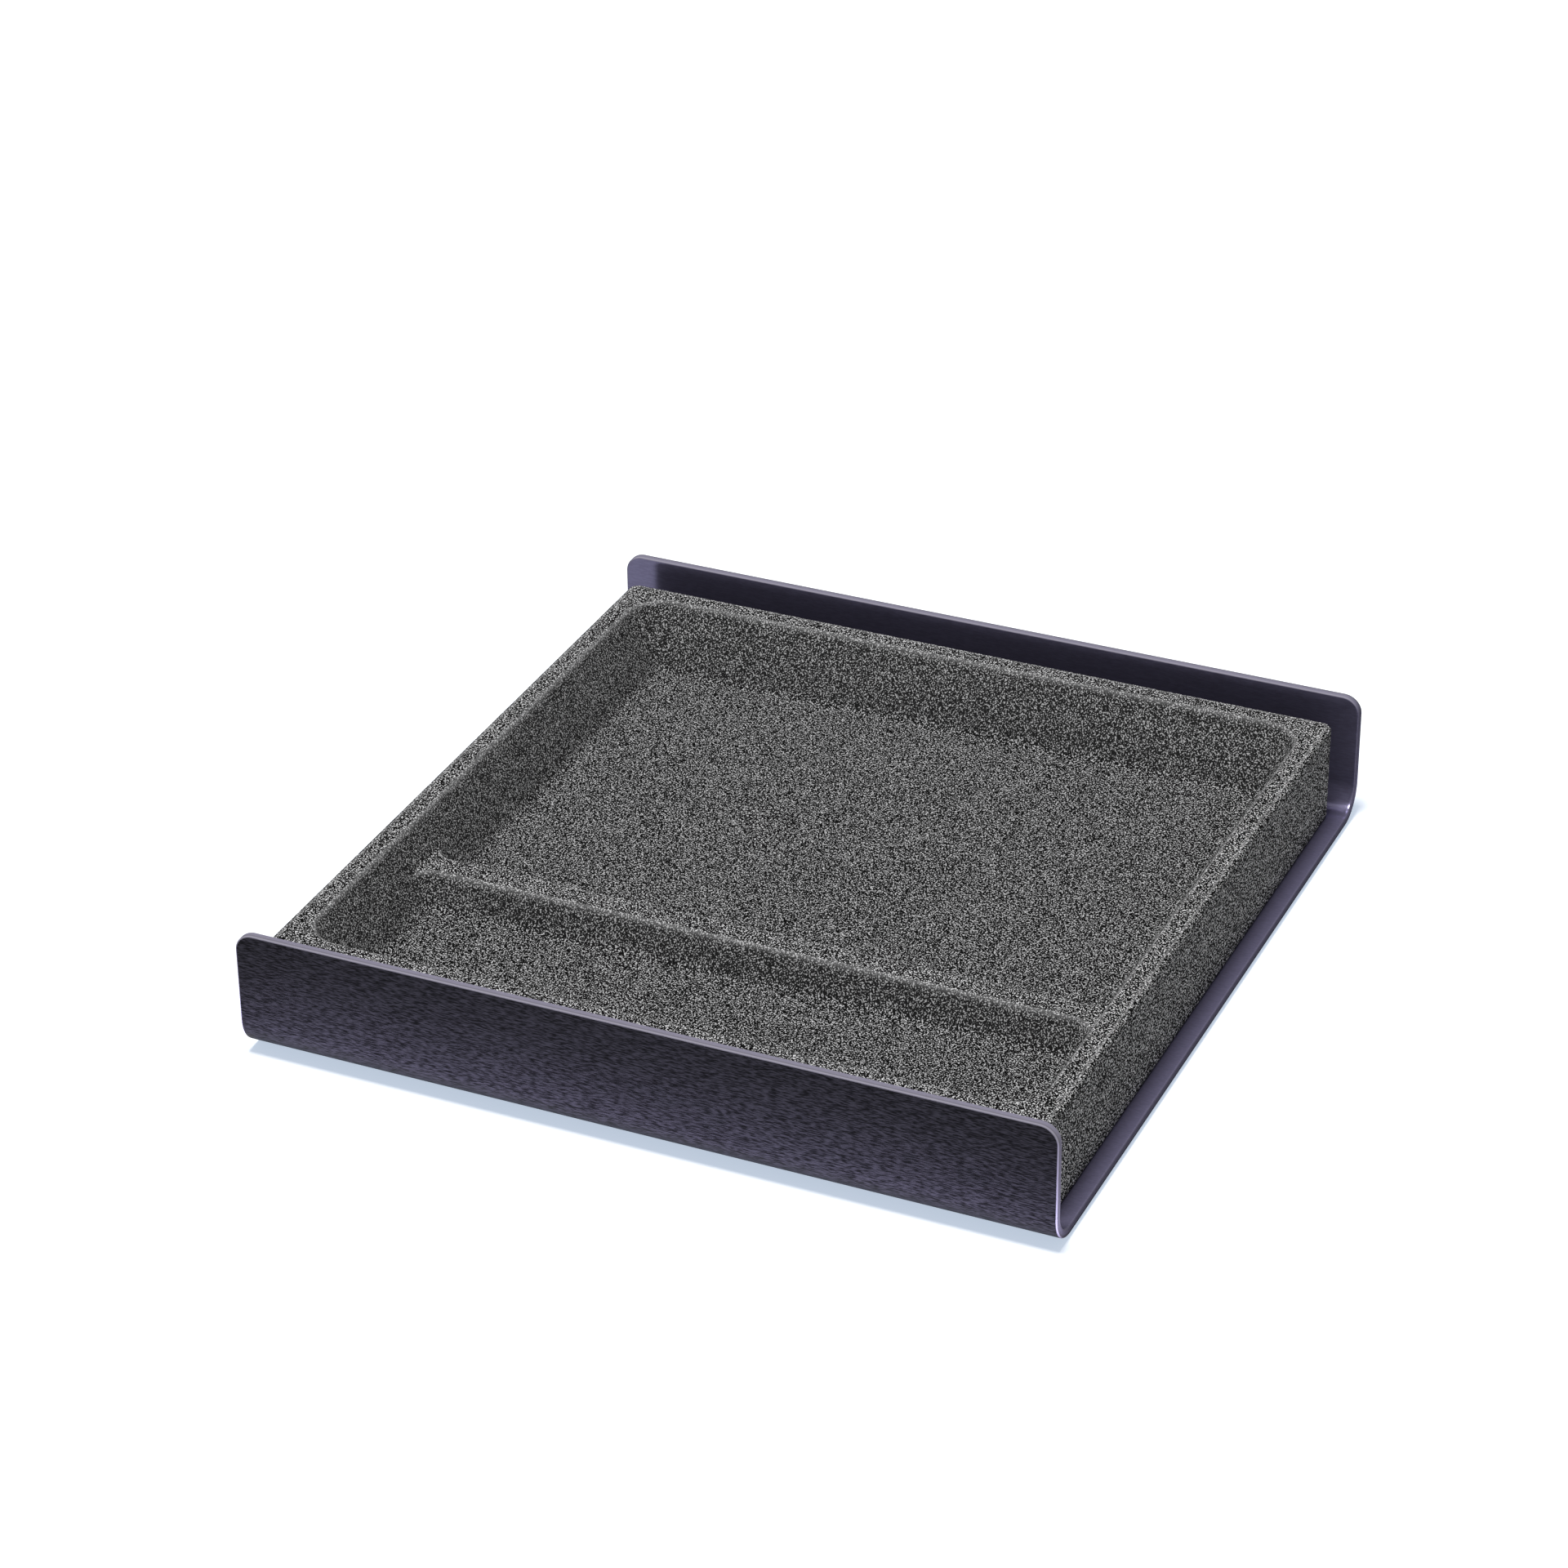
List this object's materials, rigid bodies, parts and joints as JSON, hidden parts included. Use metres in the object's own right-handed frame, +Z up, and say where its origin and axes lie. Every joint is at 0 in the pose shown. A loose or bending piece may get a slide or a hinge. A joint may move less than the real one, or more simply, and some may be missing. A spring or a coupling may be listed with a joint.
{
  "type": "pen tray",
  "caption": "Low square desk tray: a bent sheet with upturned front and back flanges carries a soft moulded foam insert with a wide pocket and a narrow pen pocket.",
  "frame": {"origin": "on the desk surface, under the middle of the plate", "axes": "+X along the flanges to the right as seen from the front, +Y from the front flange (beside the pen pocket) to the back flange, +Z up"},
  "size_m": [0.218, 0.225, 0.036],
  "materials": {
    "anodised_sheet": "satin",
    "moulded_foam": "matte",
    "foot_rubber": "matte"
  },
  "bodies": {
    "tray": {"tray_plate": "anodised_sheet", "foot_front_left": "foot_rubber", "foot_front_right": "foot_rubber", "foot_back_left": "foot_rubber", "foot_back_right": "foot_rubber"},
    "insert": {"foam_insert": "moulded_foam"}
  },
  "joints": [
    {"name": "insert_lift", "type": "slide", "parent": "tray", "child": "insert", "axis": [0, 0, 1], "range_m": [0, 0.04]}
  ]
}
